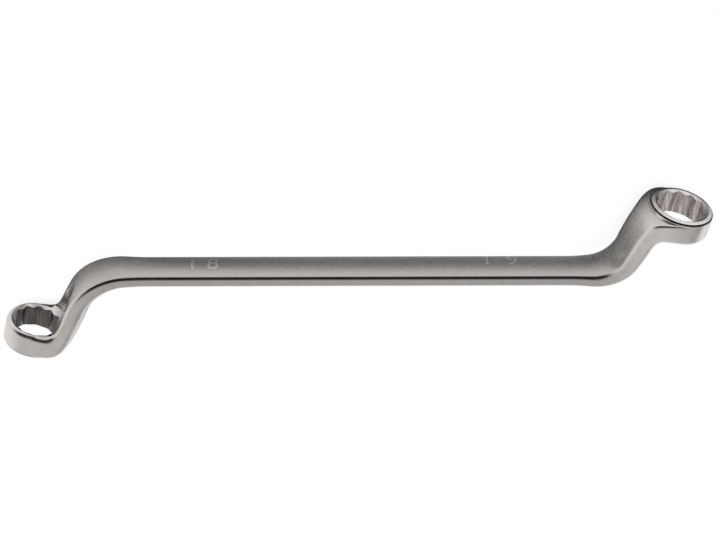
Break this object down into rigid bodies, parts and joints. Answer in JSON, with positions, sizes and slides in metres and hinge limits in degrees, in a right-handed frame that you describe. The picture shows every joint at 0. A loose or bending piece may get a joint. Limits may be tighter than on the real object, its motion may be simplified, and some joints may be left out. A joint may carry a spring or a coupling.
{
  "type": "offset ring spanner",
  "caption": "Offset ring spanner: a satin-chrome forged bar bent into an S, with a bi-hexagon socket ring at either end for turning recessed nuts and bolts.",
  "frame": {"origin": "bottom centre of the tool's box as it lies on its side on a bench", "axes": "+X along the shank towards the larger ring, +Y the way the larger ring is offset from the shank, +Z across the width of the shank, up"},
  "size_m": [0.2996, 0.075, 0.0297],
  "materials": {
    "satin_chrome": "satin"
  },
  "bodies": {
    "root": {"ring_spanner_forging": "satin_chrome"}
  },
  "joints": []
}
